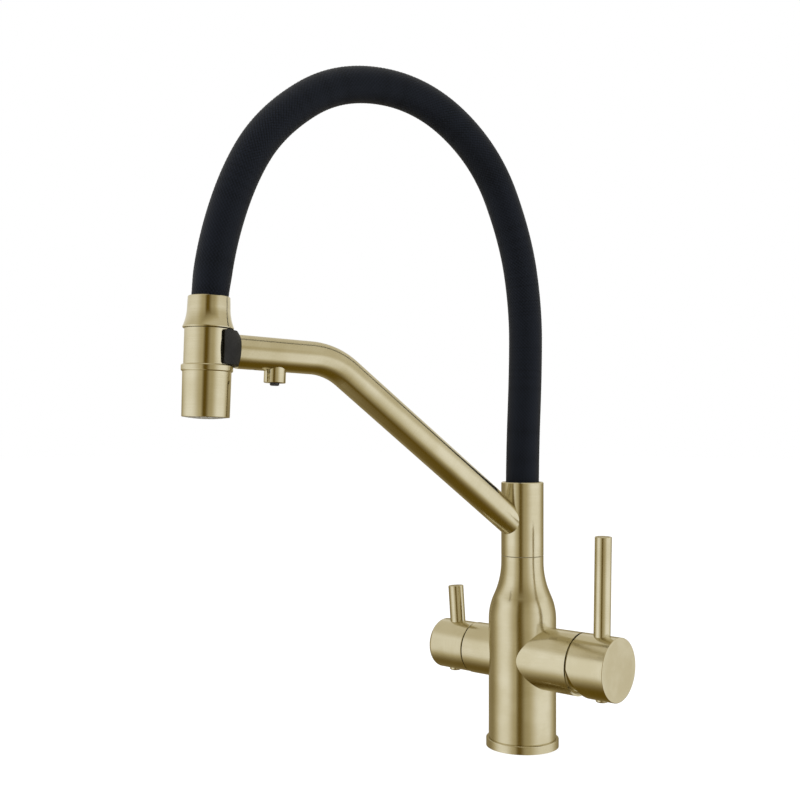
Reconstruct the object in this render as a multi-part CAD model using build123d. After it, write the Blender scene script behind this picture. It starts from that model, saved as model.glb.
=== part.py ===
"""Three way filtered water tap: mixer on +X, filter valve on -X, swivel spout with a
hose arch, a spray head in a dock, and a small filtered water outlet under the arm.

Millimetres, +Z up. The origin is the centre of the base flange's underside, which is
the deck surface. Each solid is written to parts/NODE.step under its own name.
"""

import os
from math import atan2, cos, pi, radians, sin, sqrt, tan

from build123d import *

# ---------------------------------------------------------------- driving dimensions
# Fits between pieces.
running_fit = 0.05      # radial, a part that turns in a bore
thread_gap = 0.05       # radial, a screwed or pushed joint that stays put
free_gap = 0.3          # between pieces that pass each other
face_gap = 0.1          # between flat faces on pieces that move

# Base and body.
flange_radius = 24.0
flange_height = 5.4
flange_edge = 0.6
flange_seat_z = 2.5     # where the body stands inside the flange
gasket_inner_radius = 18.5
gasket_outer_radius = 22.5
gasket_height = 1.5
spigot_radius = 16.9    # foot of the body that centres the flange, over a 35 mm deck hole
body_radius = 22.3
shoulder_z = 84.0       # where the body starts to draw in
shoulder_height = 38.0
shoulder_swell = 0.42       # of the shoulder's height, taken by its outward curve
neck_radius = 14.0
neck_height = 3.7           # straight, from the shoulder to the seam under the spout

# Supplies and fixing under the base.
tail_thread_radius = 4.5    # M10 x 1 tapping size
tail_thread_depth = 12.0
hot_cold_x = 6.7
filter_tail_x = -10.0
stud_thread_radius = 3.4    # M8 tapping size
stud_thread_depth = 25.0
supply_radius = 2.4

# Neck stem that carries the swivelling spout.
stem_radius = 11.0
stem_socket_depth = 12.0
stem_gasket_height = 1.0
stem_rise = 32.3            # above the seam
riser_radius = 5.0
filter_way_radius = 1.75
filter_way_offset = 8.0
slip_washer_height = 0.45
slip_washer_inset = 0.5
snap_ring_rise = 3.9        # above the seam
snap_ring_height = 1.2
snap_ring_gap = 1.2         # half the opening of a snap ring or clip
snap_ring_bite = 0.8        # how far the snap ring reaches past the stem into the column
snap_ring_seat = 1.2        # how deep it sits in the stem
o_ring_section = 0.85       # radius of the stem's O-ring cord
o_ring_groove = 2.2         # height of each O-ring's groove
o_ring_rises = (11.3, 18.3, 30.1)   # above the seam
filter_groove_rise = 21.9   # above the seam
filter_groove_height = 5.6
filter_groove_depth = 2.6

# Spout column.
column_radius = 14.0
column_web_gap = 0.5        # over the stem's top
column_web_height = 4.0
hose_socket_depth = 12.2
column_edge = 0.5

# Arm: its axis leaves the column's axis here and climbs, then runs nearly level.
spout_heading = -107.8      # degrees about +Z, the way the spout points at rest
arm_root_rise = 16.5        # above the seam
arm_climb = 37.5
arm_elbow_reach = 142.4
arm_straight = 77.6         # from the elbow to the head's axis
arm_rise = 2.4
head_lean = 1.8             # of the head and its dock
arm_bend_radius = 42.0
arm_radius = 9.8
arm_wall = 1.5

# Filtered water line inside the arm and its outlet.
nipple_radius = 3.0
nipple_flange_radius = 4.5
nipple_flange_height = 1.8
nipple_tip_gap = 0.4        # between the nipple and the stem
nipple_seat_gap = 0.1       # between the nipple's flange and the column
barb_radius = 2.0
barb_length = 10.0
filter_tube_radius = 3.0
filter_bore_radius = 1.2
tube_end_gap = 0.2
elbow_wall = 1.0
elbow_end = 3.0             # past the outlet's spigot, each way along the arm
elbow_drop = 1.0            # how far the elbow's spigot comes out under the arm
outlet_setback = 41.7       # behind the head's axis
outlet_radius = 6.4
outlet_drop = 16.4          # from the arm's axis to the outlet's lower rim
outlet_spigot_radius = 3.9
outlet_edge = 0.3
outlet_tip_radius = 2.75
outlet_tip_wall = 0.8
outlet_tip_drop = 1.6
outlet_tip_round = 0.7

# Spray head, measured up and down its own axis from the arm's axis.
sleeve_radius = 13.3
sleeve_wall = 1.15
sleeve_bottom = -8.7
sleeve_top = 11.3
ring_radius = 14.6
ring_height = 4.1
ring_edge = 1.0
nozzle_top_radius = 13.75
nozzle_rim_radius = 13.5
nozzle_bottom = -38.4
nozzle_rim_height = 2.0
nozzle_rim_round = 0.5
nozzle_mouth_radius = 12.7
lip_radius = 14.4
lip_height = 0.9
lip_edge = 0.4
ferrule_top = 29.6
ferrule_neck_radius = 11.9
ferrule_taper = 0.2
ferrule_edge = 0.3
ferrule_flare_height = 11.5
connector_flange_height = 3.0
connector_spigot_radius = 5.95
connector_spigot_length = 13.8
connector_barb_length = 18.0
connector_bore_radius = 3.4
connector_seal_inset = 2.6  # O-ring, from the spigot's end
clip_inset = 5.0            # clip, from the ferrule's underside
clip_height = 1.0
clip_bite = 1.0
clip_play = 0.2
core_wall = 1.6
core_top_gap = 0.2
core_mixing_height = 6.0    # the cone over the aerator
aerator_radius = 10.9
aerator_height = 8.5
aerator_wall = 1.4
screen_height = 2.0
face_bulge = 1.0            # how far the spray face swells out of the rim
screen_hole_radius = 0.75
screen_hole_pitch = 2.6
screen_rings = 3
catch_ring_height = 8.0
catch_ring_wall = 1.0

# Dock at the end of the arm: a lip round the sleeve, and a thick back whose own centre
# lies behind the head's axis.
dock_wall = 1.55
dock_wrap = 70.0            # degrees each side of the arm
dock_corner = 1.8
dock_back_radius = 15.0
dock_back_offset = 5.0
dock_top_inset = 3.3        # how far the back draws in at its top
dock_bottom_inset = 2.2
dock_plug_sink = 3.0
dock_plug_length = 12.4
dock_screw_radius = 2.0
dock_screw_length = 7.0
dock_screw_inset = 8.4      # behind the dock's back
dock_screw_sink = 0.3
dock_screw_socket = 1.0     # radius of its hexagon
magnet_radius = 4.0
magnet_height = 2.8

# Hose arch between the column and the spray head.
hose_radius = 11.0
hose_wall = 4.2
liner_wall = 2.3
hose_arch_rise = 245.9      # above the column's top
hose_nipple_length = 15.0
nipple_shoulder = 1.3       # how far the nipple's threaded foot stands out past its barb
nipple_sink = 0.2           # the foot stops this far above the web's underside
hose_foot_run = 16.9        # to the first corner, straight up from the column's top
hose_end_run = 29.6         # from the last corner, straight down into the head
# Corners of the arch's centreline between those: sideways from the column or from the
# head, and down from the top of the arch. The tangent arcs run inside them.
column_side = [(-2.6, 172.6), (-2.6, 130.6), (5.7, 84.6), (29.5, 33.1), (77.5, 0.0)]
head_side = [(84.0, 0.0), (39.9, 30.6), (16.8, 68.1)]
arc_share = 0.49            # of the shorter run, taken by each corner's arc

# Valves, both on one level axis through the body.
valve_z = 59.9

# Mixer, measured outwards from the tap's axis.
mixer_housing_radius = 20.2
mixer_housing_end = 45.8
housing_wall = 2.7
housing_mouth_wall = 1.2    # thinner at the open end, round the nut and the trim ring
housing_mouth_depth = 2.6
mixer_seat = 10.0
port_radius = 2.4
supply_port_circle = 8.0    # hot and cold ports
supply_port_angle = 55.0    # each side of straight up
mixed_port_drop = 4.0       # mixed water leaves below the axis
seal_ring_width = 1.3
seal_ring_height = 1.2
cartridge_gap = 0.1
cartridge_base_height = 3.0
cartridge_shell_wall = 1.4
fixed_disc_height = 4.0
moving_disc_height = 3.4
moving_disc_pocket = 5.2
disc_slip = 0.05
carrier_radius = 13.1
carrier_height = 5.5
carrier_roof = 0.35
rotor_flange_top = 35.6
cartridge_lid_top = 38.0
rotor_neck_radius = 10.0
rotor_neck_top = 43.0
tilt_pivot = 38.0
tilt_range = 22.0
pivot_pin_radius = 1.6
pivot_pin_length = 17.6
pivot_pin_grip = 0.02
stem_tip_arm = 13.0
stem_tip_radius = 3.0
stem_tip_clearance = 0.3
stem_shank = 4.4
stem_thickness = 8.0
stem_width = 7.0
stem_shoulder = 30.0
slot_play = 0.4             # beside the stem in the rotor
slot_end_play = 1.2         # beyond the stem's swing
nut_height = 6.0
nut_inner_radius = 11.0
nut_notches = 6
nut_notch_depth = 2.2
nut_notch_half = 1.6
nut_notch_height = 2.5
trim_flange_gap = 0.5       # inside the housing's mouth
trim_lip = 0.6              # how far the collar drops past the nut's top
trim_slope = 1.5
trim_sphere_radius = 18.2
trim_wall = 1.2
trim_mouth_radius = 11.9
lever_gap = 1.5
cap_radius = 20.25
cap_end = 73.3
cap_cavity_radius = 17.8
cap_cavity_depth = 9.2
cap_edge = 0.5
relief_angle = 21.5
stem_socket_end = 66.6
lever_rod_radius = 5.3
lever_rod_place = 61.0
lever_rod_top = 82.4
lever_rod_lean = 0.9
rod_seat = 2.0              # how deep each rod's shoulder sinks under the cap's crown
rod_spigot_radius = 3.0
rod_spigot_length = 8.0
rod_edge = 0.6
rod_end_gap = 0.5           # below the spigot's end
plug_radius = 3.9
plug_proud = 1.3
plug_round = 0.9
plug_gap = 0.3              # between the set screw and the plug
grub_radius = 2.5
grub_length = 5.0
grub_socket_radius = 1.5
grub_socket_depth = 2.0

# Filter valve, measured outwards from the tap's axis.
filter_housing_radius = 17.1
filter_housing_end = 38.0
filter_seat = 14.0
filter_seam = 1.3
filter_body_radius = 9.5
filter_jacket_radius = 8.6
filter_jacket_length = 12.0
filter_hex_radius = 12.3
filter_hex_height = 5.0
filter_hex_sink = 0.4
filter_hex_room = 1.0       # between the hexagon and the floor of its counterbore
filter_way_start = 4.0      # beyond the seat, where the filtered water leaves the bore
rubber_seat_height = 1.2
filter_disc_radius = 7.4
filter_disc_height = 2.5
filter_port_radius = 1.9
filter_port_offset = 3.9
filter_window_radius = 1.5  # where the filtered water leaves the valve body
spindle_foot_height = 2.8
spindle_radius = 4.0
spindle_end = 61.5
spindle_ring_section = 0.8
spindle_ring_groove = 2.0
spindle_end_gap = 0.2
spindle_ring_place = 29.0
filter_cap_radius = 16.75
filter_cap_end = 68.0
filter_cap_round = 2.6
filter_cap_edge = 0.3       # at the seam
filter_cavity_radius = 13.2
filter_cavity_depth = 4.6
filter_rod_radius = 5.25
filter_rod_place = 54.75
filter_rod_top = 40.9
filter_rod_lean = 4.4
filter_plug_place = 57.0

# ---------------------------------------------------------------- derived dimensions
neck_z = shoulder_z + shoulder_height + neck_height
stem_base_z = neck_z - stem_socket_depth
stem_top_z = neck_z + stem_rise
snap_ring_z = neck_z + snap_ring_rise
o_ring_levels = [neck_z + rise for rise in o_ring_rises]
filter_groove_z = neck_z + filter_groove_rise
column_base_z = neck_z + slip_washer_height + face_gap
column_web_z = stem_top_z + column_web_gap
hose_foot_z = column_web_z + column_web_height
column_top_z = hose_foot_z + hose_socket_depth
column_bore_radius = stem_radius + running_fit
arm_bore_radius = arm_radius - arm_wall
arm_root_z = neck_z + arm_root_rise
head_reach = arm_elbow_reach + arm_straight
outlet_reach = head_reach - outlet_setback
arm_elbow_z = arm_root_z + arm_elbow_reach * tan(radians(arm_climb))
head_z = arm_elbow_z + (head_reach - arm_elbow_reach) * tan(radians(arm_rise))
hose_bore_radius = hose_radius - hose_wall
liner_radius = hose_bore_radius - thread_gap
liner_bore_radius = liner_radius - liner_wall
hose_barb_radius = liner_bore_radius - thread_gap
hose_socket_radius = hose_radius + free_gap
nipple_shoulder_radius = hose_barb_radius + nipple_shoulder
hose_arch_top_z = column_top_z + hose_arch_rise
mixer_bore_radius = mixer_housing_radius - housing_wall
mixer_mouth_radius = mixer_housing_radius - housing_mouth_wall
cartridge_radius = mixer_bore_radius - cartridge_gap
cartridge_room_radius = cartridge_radius - cartridge_shell_wall
cartridge_floor = mixer_seat + cartridge_base_height
fixed_disc_top = cartridge_floor + fixed_disc_height
moving_disc_top = fixed_disc_top + disc_slip + moving_disc_height
carrier_top = moving_disc_top + carrier_height
carrier_travel = stem_tip_arm * sin(radians(tilt_range))
nut_top = cartridge_lid_top + nut_height
cap_start = mixer_housing_end + lever_gap
filter_cap_start = filter_housing_end + filter_seam
ferrule_bottom = sleeve_top + core_top_gap
ferrule_step = ferrule_bottom + face_gap + connector_flange_height
ring_bottom = sleeve_bottom - ring_height
core_radius = sleeve_radius - sleeve_wall - thread_gap
dock_inner_radius = sleeve_radius + free_gap
dock_low = sleeve_bottom + free_gap
dock_high = sleeve_top - free_gap
dock_reach = dock_back_offset + dock_back_radius
aerator_bore_radius = aerator_radius - aerator_wall
spray_face_radius = nozzle_mouth_radius - thread_gap
lever_plug_seat = stem_thickness / 2 + grub_length + plug_gap
filter_plug_seat = spindle_radius + grub_length + plug_gap


# ---------------------------------------------------------------- helpers
def disc(radius, low, high):
    """A cylinder on the local Z axis from one level to another."""
    return Pos(0, 0, low) * Cylinder(
        radius, high - low, align=(Align.CENTER, Align.CENTER, Align.MIN)
    )


def ring(outer, inner, low, high):
    """A plain ring on the local Z axis."""
    return disc(outer, low, high) - disc(inner, low, high)


def block(x_low, x_high, y_half, z_low, z_high):
    """A box between stated limits, centred across Y."""
    size = (x_high - x_low, 2 * y_half, z_high - z_low)
    middle = ((x_low + x_high) / 2, 0, (z_low + z_high) / 2)
    return Pos(*middle) * Box(*size)


def lathe(*points):
    """A solid turned about Z from (radius, level) corners."""
    outline = Polyline(*[(r, 0, z) for r, z in points], close=True)
    return revolve(make_face(outline), Axis.Z)


def cord_ring(middle_radius, section_radius, level):
    """An O-ring lying flat at a level."""
    return Pos(0, 0, level) * Torus(middle_radius, section_radius)


def rod_between(start, end, radius):
    """A round bar between two points, each given as (x, y, z)."""
    direction = Vector(*end) - Vector(*start)
    return extrude(Plane(origin=start, z_dir=direction) * Circle(radius), direction.length)


def tube_along(path, radius):
    """A round bar swept along a path of runs and tangent arcs."""
    start = Plane(origin=path @ 0, z_dir=path % 0)
    return sweep(start * Circle(radius), path=path)


def write(name, shape):
    """Writes one node to its own file."""
    shape.label = name
    export_step(shape, os.path.join("parts", name + ".step"))


# Each valve is modelled on its own axis: local Z runs outwards and local X points up.
mixer_frame = Plane(origin=(0, 0, valve_z), x_dir=(0, 0, 1), z_dir=(1, 0, 0)).location
filter_frame = Plane(origin=(0, 0, valve_z), x_dir=(0, 0, 1), z_dir=(-1, 0, 0)).location
# The spout is modelled pointing along +X and then turned to its heading.
spout_frame = Rot(0, 0, spout_heading)
# Both meet the arm's axis at the head: one follows the arm, the other the head's lean.
arm_end = Pos(head_reach, 0, head_z) * Rot(0, -arm_rise, 0)
head_place = Pos(head_reach, 0, head_z) * Rot(0, -head_lean, 0)
head_frame = spout_frame * head_place


def arm_point(reach):
    """A point on the arm's straight ends, at a distance from the tap's axis."""
    if reach <= arm_elbow_reach:
        return (reach, 0, arm_root_z + reach * tan(radians(arm_climb)))
    return (reach, 0, arm_elbow_z + (reach - arm_elbow_reach) * tan(radians(arm_rise)))


def arm_path(start_reach, end_reach):
    """The arm's centreline between two distances from the tap's axis."""
    corner = arm_point(arm_elbow_reach)
    return FilletPolyline(
        arm_point(start_reach), corner, arm_point(end_reach), radius=arm_bend_radius
    )


def along_root(distance):
    """A point on the climbing axis at a distance from where it meets the column's axis."""
    angle = radians(arm_climb)
    return (distance * cos(angle), 0, arm_root_z + distance * sin(angle))


# ---------------------------------------------------------------- base and body
def body_outline():
    """The turned outline of the body, with its bottle shoulder of two tangent arcs."""
    inset = body_radius - neck_radius
    turn = 2 * atan2(inset, shoulder_height)
    bend = shoulder_swell * shoulder_height / sin(turn)
    waist = (
        body_radius - bend * (1 - cos(turn)),
        0,
        shoulder_z + bend * sin(turn),
    )
    foot = Polyline(
        (0, 0, 0),
        (spigot_radius, 0, 0),
        (spigot_radius, 0, flange_seat_z),
        (body_radius, 0, flange_seat_z),
        (body_radius, 0, shoulder_z),
    )
    swell = TangentArc((body_radius, 0, shoulder_z), waist, tangent=(0, 0, 1))
    shoulder_end = (neck_radius, 0, shoulder_z + shoulder_height)
    hollow = TangentArc(waist, shoulder_end, tangent=swell % 1)
    top = Polyline(shoulder_end, (neck_radius, 0, neck_z), (0, 0, neck_z), (0, 0, 0))
    return make_face(Curve() + [foot, swell, hollow, top])


def port_places():
    """Local (up, across) places of the mixed, hot and cold ports on the mixer's seat."""
    places = [(-mixed_port_drop, 0)]
    for side in (1, -1):
        angle = radians(side * supply_port_angle)
        places.append((supply_port_circle * cos(angle), supply_port_circle * sin(angle)))
    return places


def make_main_body():
    body = revolve(body_outline(), Axis.Z)
    body += mixer_frame * disc(mixer_housing_radius, 0, mixer_housing_end)
    body += filter_frame * disc(filter_housing_radius, 0, filter_housing_end)

    # Mixer bore and the three ports in its floor.
    body -= mixer_frame * disc(mixer_bore_radius, mixer_seat, mixer_housing_end)
    mouth = mixer_housing_end - housing_mouth_depth
    body -= mixer_frame * disc(mixer_mouth_radius, mouth, mixer_housing_end)
    mixed, *supplies = port_places()
    body -= mixer_frame * Pos(mixed[0], mixed[1], 0) * disc(port_radius, 0, mixer_seat)
    for up, across in supplies:
        body -= mixer_frame * Pos(up, across, 0) * disc(port_radius, hot_cold_x, mixer_seat)
        tail = Pos(hot_cold_x, across, 0)
        body -= tail * disc(supply_radius, 0, valve_z + up)
        body -= tail * disc(tail_thread_radius, 0, tail_thread_depth)

    # Mixed water rises up the middle from its port to the neck.
    body -= disc(riser_radius, valve_z + mixed[0] - port_radius, neck_z)
    body -= disc(stem_radius + thread_gap, stem_base_z, neck_z)

    # Filter valve bore, its supply, and the slanted way up to the neck.
    body -= filter_frame * disc(filter_body_radius + thread_gap, filter_seat, filter_housing_end)
    hex_room = filter_housing_end - filter_hex_height - filter_hex_room
    body -= filter_frame * disc(filter_hex_radius + free_gap, hex_room, filter_housing_end)
    body -= Pos(filter_tail_x, 0, 0) * disc(supply_radius, 0, valve_z)
    body -= Pos(filter_tail_x, 0, 0) * disc(tail_thread_radius, 0, tail_thread_depth)
    body -= filter_frame * disc(supply_radius, -filter_tail_x, filter_seat)
    way_foot = (-(filter_seat + filter_way_start), 0, valve_z + filter_body_radius - filter_way_radius)
    body -= rod_between(way_foot, (-filter_way_offset, 0, stem_base_z), filter_way_radius)
    body -= Pos(-filter_way_offset, 0, 0) * disc(
        filter_way_radius, stem_base_z - filter_way_radius, stem_base_z
    )

    # Blind hole for the fixing stud.
    body -= disc(stud_thread_radius, 0, stud_thread_depth)
    return body


def make_base_flange():
    flange = disc(flange_radius, 0, flange_height)
    flange = fillet(flange.edges().group_by(Axis.Z)[-1], flange_edge)
    flange -= disc(spigot_radius + thread_gap, 0, flange_height)
    flange -= disc(body_radius + thread_gap, flange_seat_z, flange_height)
    flange -= ring(gasket_outer_radius, gasket_inner_radius, 0, gasket_height)
    return flange


def make_base_gasket():
    return ring(gasket_outer_radius, gasket_inner_radius, 0, gasket_height)


# ---------------------------------------------------------------- neck and swivel
def groove(radius, depth, low, height):
    """The ring of material a turned groove removes from a round stem."""
    return ring(radius + 1, radius - depth, low, low + height)


def make_neck_stem():
    stem = disc(stem_radius, stem_base_z + stem_gasket_height, stem_top_z)
    stem -= disc(riser_radius, stem_base_z, stem_top_z)
    filter_way_top = filter_groove_z + filter_groove_height / 2
    stem -= Pos(-filter_way_offset, 0, 0) * disc(filter_way_radius, stem_base_z, filter_way_top)
    stem -= groove(stem_radius, filter_groove_depth, filter_groove_z, filter_groove_height)
    stem -= groove(
        stem_radius,
        snap_ring_seat + thread_gap,
        snap_ring_z - free_gap,
        snap_ring_height + 2 * free_gap,
    )
    for level in o_ring_levels:
        low = level - o_ring_groove / 2
        stem -= groove(stem_radius, 2 * o_ring_section, low, o_ring_groove)
    return stem


def make_stem_gasket():
    gasket = ring(stem_radius, riser_radius, stem_base_z, stem_base_z + stem_gasket_height)
    gasket -= Pos(-filter_way_offset, 0, 0) * disc(filter_way_radius, stem_base_z, neck_z)
    return gasket


def make_swivel_o_rings():
    middle = stem_radius - o_ring_section
    return Compound(children=[cord_ring(middle, o_ring_section, z) for z in o_ring_levels])


def make_slip_washer():
    inner = stem_radius + 2 * running_fit
    return ring(neck_radius - slip_washer_inset, inner, neck_z, neck_z + slip_washer_height)


def split_ring(outer, inner, low, high):
    """A snap ring with a gap cut through one side."""
    return ring(outer, inner, low, high) - block(0, outer + 1, snap_ring_gap, low - 1, high + 1)


def make_snap_ring():
    return split_ring(
        stem_radius + snap_ring_bite,
        stem_radius - snap_ring_seat,
        snap_ring_z,
        snap_ring_z + snap_ring_height,
    )


# ---------------------------------------------------------------- spout column and arm
def make_spout_column():
    column = disc(column_radius, column_base_z, column_top_z)
    column = chamfer(column.edges().group_by(Axis.Z)[-1], column_edge)
    column -= disc(column_bore_radius, column_base_z, column_web_z)
    column -= disc(
        stem_radius + snap_ring_bite + free_gap,
        snap_ring_z - free_gap,
        snap_ring_z + snap_ring_height + free_gap,
    )
    column -= disc(nipple_shoulder_radius + thread_gap, column_web_z, hose_foot_z)
    column -= disc(hose_socket_radius, hose_foot_z, column_top_z)
    column -= rod_between(along_root(0), along_root(column_radius * 2), nipple_radius)
    return spout_frame * column


def make_spout_arm():
    path = arm_path(column_radius / 2, head_reach - dock_back_offset)
    arm = tube_along(path, arm_radius) - tube_along(path, arm_bore_radius)
    arm -= disc(column_radius, 0, arm_elbow_z)
    outlet_place = outlet_frame_local()
    arm -= outlet_place * disc(outlet_spigot_radius + thread_gap, -arm_radius * 2, 0)
    arm -= head_place * dock_back(thread_gap)
    arm -= head_place * Pos(-dock_back_offset, 0, 0) * disc(
        dock_back_radius - dock_bottom_inset + thread_gap, -arm_radius * 2, dock_low
    )
    arm -= dock_screw_place() * disc(dock_screw_radius + thread_gap, -arm_radius * 2, 0)
    return spout_frame * arm


def outlet_frame_local():
    """Where the outlet's own axis stands on the arm, before the spout's heading."""
    return Pos(*arm_point(outlet_reach)) * Rot(0, -arm_rise, 0)


def make_filter_nipple():
    sink = column_bore_radius / cos(radians(arm_climb))
    start = sink + nipple_radius * tan(radians(arm_climb)) + nipple_tip_gap
    seat = column_radius / cos(radians(arm_climb))
    shoulder = seat + nipple_flange_radius * tan(radians(arm_climb)) + nipple_seat_gap
    flange_end = shoulder + nipple_flange_height
    tip = flange_end + barb_length
    body = rod_between(along_root(start), along_root(shoulder), nipple_radius - thread_gap)
    body += rod_between(along_root(shoulder), along_root(flange_end), nipple_flange_radius)
    body += rod_between(along_root(flange_end), along_root(tip), barb_radius)
    body -= rod_between(along_root(start - 1), along_root(tip + 1), filter_bore_radius)
    return spout_frame * body


def make_filter_tube():
    seat = column_radius / cos(radians(arm_climb))
    shoulder = seat + nipple_flange_radius * tan(radians(arm_climb)) + nipple_seat_gap
    start = shoulder + nipple_flange_height + nipple_seat_gap
    start_reach = start * cos(radians(arm_climb))
    path = arm_path(start_reach, outlet_reach - outlet_barrel_half() - tube_end_gap)
    tube = tube_along(path, filter_tube_radius)
    return spout_frame * (tube - tube_along(path, barb_radius + thread_gap))


def outlet_barrel_half():
    """Half the length of the elbow block under which the outlet hangs."""
    return outlet_spigot_radius + elbow_end


def make_filter_elbow():
    barrel = Rot(0, 90, 0) * disc(
        outlet_spigot_radius + elbow_wall, -outlet_barrel_half(), outlet_barrel_half()
    )
    barrel += disc(outlet_spigot_radius, -arm_radius - elbow_drop, 0)
    barrel += Rot(0, 90, 0) * disc(
        barb_radius, -outlet_barrel_half() - barb_length, -outlet_barrel_half()
    )
    barrel -= Rot(0, 90, 0) * disc(
        filter_bore_radius, -outlet_barrel_half() - barb_length, filter_bore_radius
    )
    barrel -= disc(filter_bore_radius, -arm_radius - elbow_drop, 0)
    return spout_frame * outlet_frame_local() * barrel


def make_outlet_boss():
    boss = disc(outlet_radius, -outlet_drop, 0)
    boss = chamfer(boss.edges().group_by(Axis.Z)[0], outlet_edge)
    boss -= disc(outlet_spigot_radius + thread_gap, -outlet_drop, 0)
    boss -= Rot(0, 90, 0) * disc(arm_radius, -outlet_radius * 2, outlet_radius * 2)
    return spout_frame * outlet_frame_local() * boss


def make_outlet_insert():
    top = -arm_radius - elbow_drop
    tip_low = -outlet_drop - outlet_tip_drop
    insert = disc(outlet_spigot_radius, -outlet_drop, top)
    insert += disc(outlet_tip_radius, tip_low, top)
    insert = fillet(insert.edges().group_by(Axis.Z)[0], outlet_tip_round)
    insert -= disc(outlet_tip_radius - outlet_tip_wall, tip_low, -outlet_drop)
    insert -= disc(filter_bore_radius, -outlet_drop, top)
    return spout_frame * outlet_frame_local() * insert


# ---------------------------------------------------------------- dock
def dock_back(grow):
    """The dock's thick back, whose side is an arc, made larger by a clearance."""
    middle = (dock_low + dock_high) / 2
    low_point = (dock_back_radius - dock_bottom_inset + grow, 0, dock_low)
    high_point = (dock_back_radius - dock_top_inset + grow, 0, dock_high)
    side = ThreePointArc(low_point, (dock_back_radius + grow, 0, middle), high_point)
    ends = Polyline(high_point, (0, 0, dock_high), (0, 0, dock_low), low_point)
    return Pos(-dock_back_offset, 0, 0) * revolve(make_face(Curve() + [side, ends]), Axis.Z)


def dock_screw_place():
    """Where the dock's set screw stands on the arm, before the spout's heading."""
    return arm_end * Pos(-dock_reach - dock_screw_inset, 0, 0)


def make_dock_cradle():
    outer = dock_inner_radius + dock_wall
    front = dock_inner_radius * cos(radians(dock_wrap))
    room = block(-front, dock_reach, dock_reach, dock_low - 1, dock_high + 1)
    shell = disc(outer, dock_low, dock_high) - room
    shell = fillet(shell.edges().filter_by(Axis.Y), dock_corner)
    shell += dock_back(0) - room
    shell -= disc(dock_inner_radius, dock_low - 1, dock_high + 1)
    magnet_back = sleeve_radius + 2 * free_gap + magnet_height
    shell -= Rot(0, -90, 0) * disc(magnet_radius + thread_gap, 0, magnet_back)
    cradle = head_place * shell
    cradle += arm_end * Rot(0, -90, 0) * disc(
        arm_bore_radius - thread_gap, dock_reach - dock_plug_sink, dock_reach + dock_plug_length
    )
    cradle -= dock_screw_place() * disc(
        dock_screw_radius, -arm_radius, dock_screw_length - arm_radius
    )
    return spout_frame * cradle


def make_dock_magnet():
    face = sleeve_radius + 2 * free_gap
    return head_frame * Rot(0, -90, 0) * disc(magnet_radius, face, face + magnet_height)


def make_dock_screw():
    low = dock_screw_sink - arm_radius
    screw = disc(dock_screw_radius, low, dock_screw_length - arm_radius)
    socket = extrude(Plane.XY.offset(low) * RegularPolygon(dock_screw_socket, 6), dock_screw_radius)
    return spout_frame * dock_screw_place() * (screw - socket)


# ---------------------------------------------------------------- hose
def head_axis_point(height):
    """A point on the head's own axis, at a height above the arm's axis."""
    lean = radians(head_lean)
    return (head_reach - height * sin(lean), 0, head_z + height * cos(lean))


def hose_corners():
    """The arch's corner points in the spout's plane, from the column to the head."""
    foot = [(0, 0, hose_foot_z + face_gap), (0, 0, column_top_z + hose_foot_run)]
    rising = [(out, 0, hose_arch_top_z - drop) for out, drop in column_side]
    falling = [(head_reach - back, 0, hose_arch_top_z - drop) for back, drop in head_side]
    # The last run lies on the head's own axis, so the hose enters the head squarely.
    end_height = ferrule_step + face_gap
    ends = [head_axis_point(end_height + hose_end_run), head_axis_point(end_height)]
    return foot + rising + falling + ends


def hose_path():
    """The hose's centreline: straight runs joined by tangent arcs."""
    points = [Vector(*point) for point in hose_corners()]
    radii = []
    for before, corner, after in zip(points, points[1:], points[2:]):
        run_in = corner - before
        run_out = after - corner
        half_turn = radians(run_in.get_angle(run_out)) / 2
        radii.append(arc_share * min(run_in.length, run_out.length) / tan(half_turn))
    print("hose arc radii", [round(radius, 1) for radius in radii])
    return FilletPolyline(*points, radius=radii)


def make_hose_pieces():
    path = hose_path()
    cover = tube_along(path, hose_radius) - tube_along(path, hose_bore_radius)
    liner = tube_along(path, liner_radius) - tube_along(path, liner_bore_radius)
    section = hose_radius**2 - hose_bore_radius**2
    expected = pi * section * path.length
    print("hose length", round(path.length, 1), "volume share", round(cover.volume / expected, 5))
    return spout_frame * cover, spout_frame * liner


def make_hose_nipple():
    nipple = disc(nipple_shoulder_radius, column_web_z + nipple_sink, hose_foot_z)
    nipple += disc(hose_barb_radius, hose_foot_z, hose_foot_z + hose_nipple_length)
    nipple -= disc(connector_bore_radius, column_web_z, hose_foot_z + hose_nipple_length)
    return spout_frame * nipple


# ---------------------------------------------------------------- hose end of the head
def make_head_ferrule():
    lip_top = ferrule_bottom + lip_height
    flare_top = lip_top + ferrule_flare_height
    foot = Polyline(
        (hose_socket_radius, 0, ferrule_step),
        (sleeve_radius - sleeve_wall, 0, ferrule_step),
        (sleeve_radius - sleeve_wall, 0, ferrule_bottom),
        (lip_radius - lip_edge, 0, ferrule_bottom),
        (lip_radius, 0, ferrule_bottom + lip_edge),
        (lip_radius, 0, lip_top),
    )
    flare_end = (ferrule_neck_radius + ferrule_taper, 0, flare_top)
    flare = TangentArc(flare_end, (lip_radius, 0, lip_top), tangent=(0, 0, -1))
    crown = Polyline(
        flare_end,
        (ferrule_neck_radius, 0, ferrule_top - ferrule_edge),
        (ferrule_neck_radius - ferrule_edge, 0, ferrule_top),
        (hose_socket_radius, 0, ferrule_top),
        (hose_socket_radius, 0, ferrule_step),
    )
    return head_frame * revolve(make_face(Curve() + [foot, flare, crown]), Axis.Z)


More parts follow.
